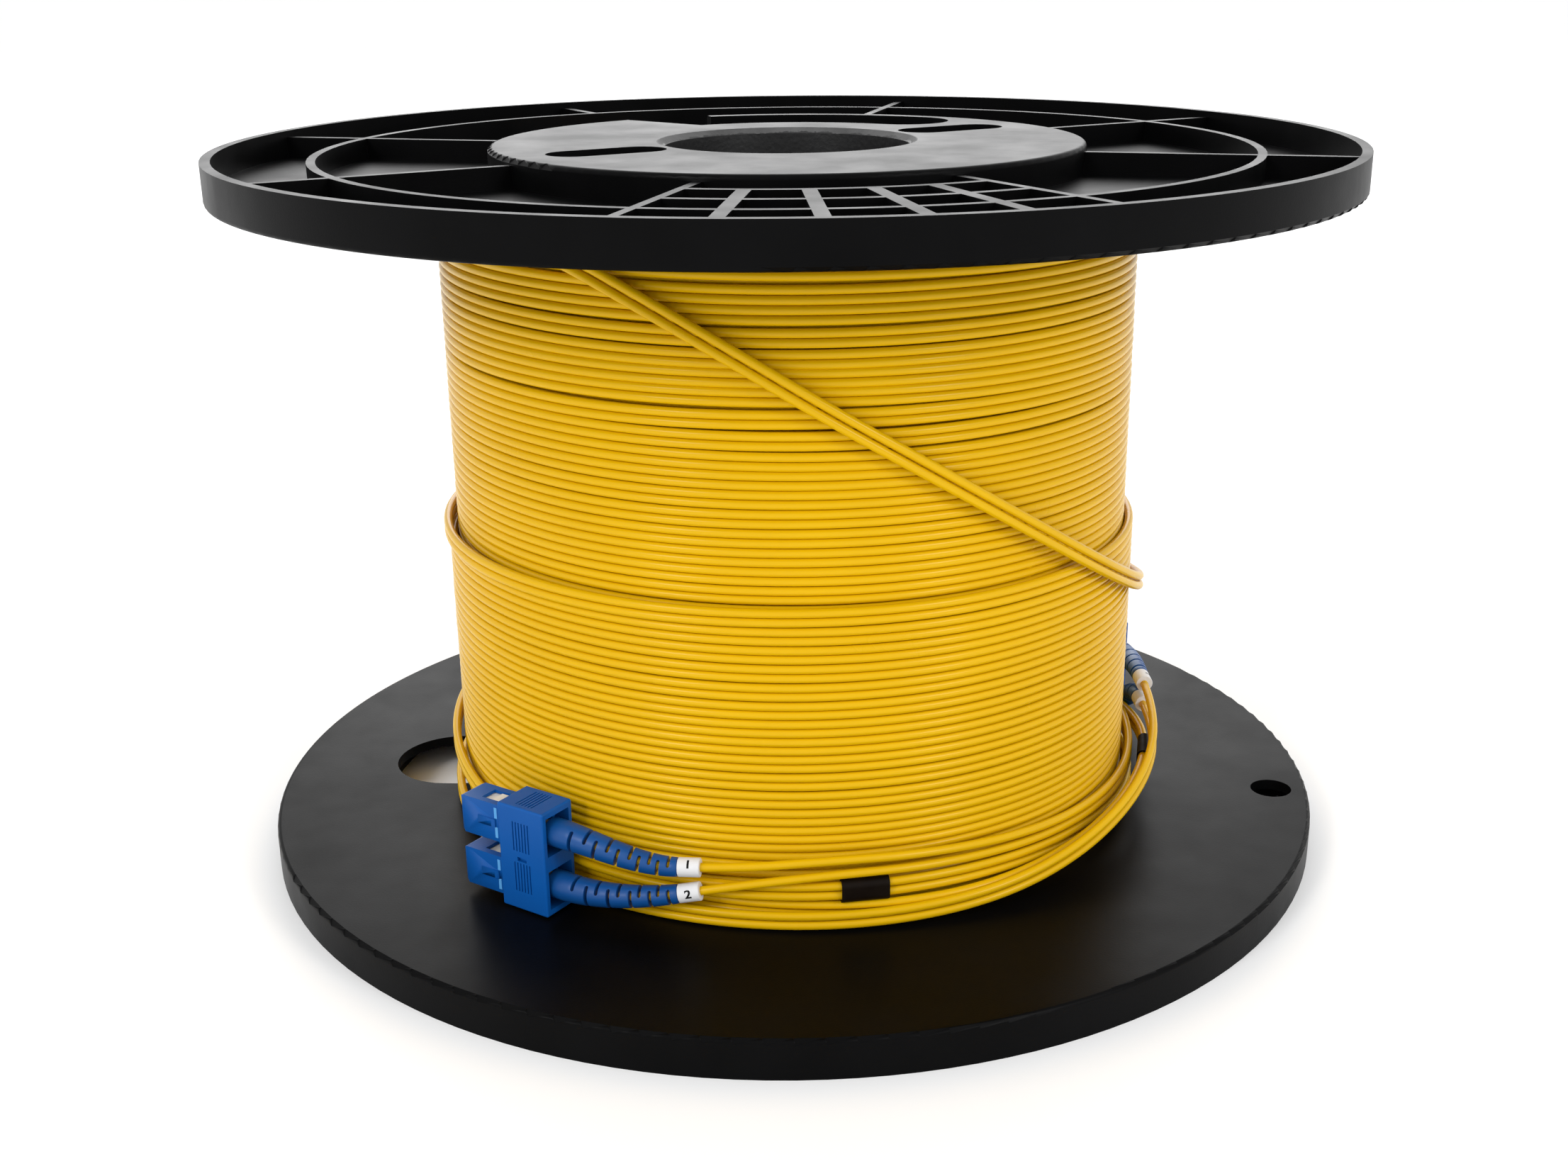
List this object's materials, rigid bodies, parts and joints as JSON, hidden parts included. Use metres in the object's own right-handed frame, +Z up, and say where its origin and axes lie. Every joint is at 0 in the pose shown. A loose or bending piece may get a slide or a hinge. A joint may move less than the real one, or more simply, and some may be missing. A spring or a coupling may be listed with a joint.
{
  "type": "cable reel",
  "caption": "Two-flange cable reel wound with yellow duplex fibre patch cord, with a blue duplex push-pull plug on each end of the cord.",
  "frame": {"origin": "on the reel's axis, in the plane that it stands on", "axes": "+Z up along the reel's axis, -Y towards the front duplex plug's side"},
  "size_m": [0.26, 0.26, 0.1666],
  "materials": {
    "flange": "satin black moulded plastic",
    "core": "matt black plastic",
    "arbor": "matt dark grey plastic",
    "jacket": "satin yellow cable jacket",
    "plug_blue": "satin blue moulded plastic",
    "frame_white": "satin off-white moulded plastic",
    "ceramic": "polished white ceramic",
    "spring_steel": "bright spring wire",
    "metal": "plain metal",
    "number_white": "matt white sleeve",
    "heat_shrink": "matt black heat-shrink tube"
  },
  "bodies": {
    "spool": {"upper_flange": "flange", "lower_flange": "flange", "barrel": "core", "arbor_tube": "arbor", "inner_layers": "jacket", "outer_layers": "jacket", "front_plug_frame_1": "frame_white", "front_plug_frame_2": "frame_white", "front_ferrule_spring_1": "spring_steel", "front_ferrule_spring_2": "spring_steel", "front_stop_body_1": "metal", "front_stop_body_2": "metal", "front_crimp_ring_1": "metal", "front_crimp_ring_2": "metal", "front_boot_1": "plug_blue", "front_boot_2": "plug_blue", "front_number_sleeve_1": "number_white", "front_number_sleeve_2": "number_white", "front_shrink_sleeve": "heat_shrink", "front_leg_1": "jacket", "front_leg_2": "jacket", "back_plug_frame_1": "frame_white", "back_plug_frame_2": "frame_white", "back_ferrule_spring_1": "spring_steel", "back_ferrule_spring_2": "spring_steel", "back_stop_body_1": "metal", "back_stop_body_2": "metal", "back_crimp_ring_1": "metal", "back_crimp_ring_2": "metal", "back_boot_1": "plug_blue", "back_boot_2": "plug_blue", "back_number_sleeve_1": "number_white", "back_number_sleeve_2": "number_white", "back_shrink_sleeve": "heat_shrink", "back_leg_1": "jacket", "back_leg_2": "jacket", "crossing_strand_1": "jacket", "crossing_strand_2": "jacket"},
    "front_grip": {"front_duplex_clip": "plug_blue", "front_housing_1": "plug_blue", "front_housing_2": "plug_blue"},
    "front_ferrule_1": {"front_ferrule_1": "ceramic"},
    "front_ferrule_2": {"front_ferrule_2": "ceramic"},
    "back_grip": {"back_duplex_clip": "plug_blue", "back_housing_1": "plug_blue", "back_housing_2": "plug_blue"},
    "back_ferrule_1": {"back_ferrule_1": "ceramic"},
    "back_ferrule_2": {"back_ferrule_2": "ceramic"}
  },
  "joints": [
    {"name": "front_grip_slide", "type": "slide", "parent": "spool", "child": "front_grip", "axis": [0.832, -0.5548, 0], "range_m": [0, 0.0018]},
    {"name": "front_ferrule_1_float", "type": "slide", "parent": "spool", "child": "front_ferrule_1", "axis": [0.832, -0.5548, 0], "range_m": [0, 0.0008], "stiffness_N_per_m": 1200, "springref_m": -0.006, "deforming": ["front_ferrule_spring_1"]},
    {"name": "front_ferrule_2_float", "type": "slide", "parent": "spool", "child": "front_ferrule_2", "axis": [0.832, -0.5548, 0], "range_m": [0, 0.0008], "stiffness_N_per_m": 1200, "springref_m": -0.006, "deforming": ["front_ferrule_spring_2"]},
    {"name": "back_grip_slide", "type": "slide", "parent": "spool", "child": "back_grip", "axis": [0.3453, -0.9385, 0], "range_m": [0, 0.0018]},
    {"name": "back_ferrule_1_float", "type": "slide", "parent": "spool", "child": "back_ferrule_1", "axis": [0.3453, -0.9385, 0], "range_m": [0, 0.0008], "stiffness_N_per_m": 1200, "springref_m": -0.006, "deforming": ["back_ferrule_spring_1"]},
    {"name": "back_ferrule_2_float", "type": "slide", "parent": "spool", "child": "back_ferrule_2", "axis": [0.3453, -0.9385, 0], "range_m": [0, 0.0008], "stiffness_N_per_m": 1200, "springref_m": -0.006, "deforming": ["back_ferrule_spring_2"]}
  ]
}
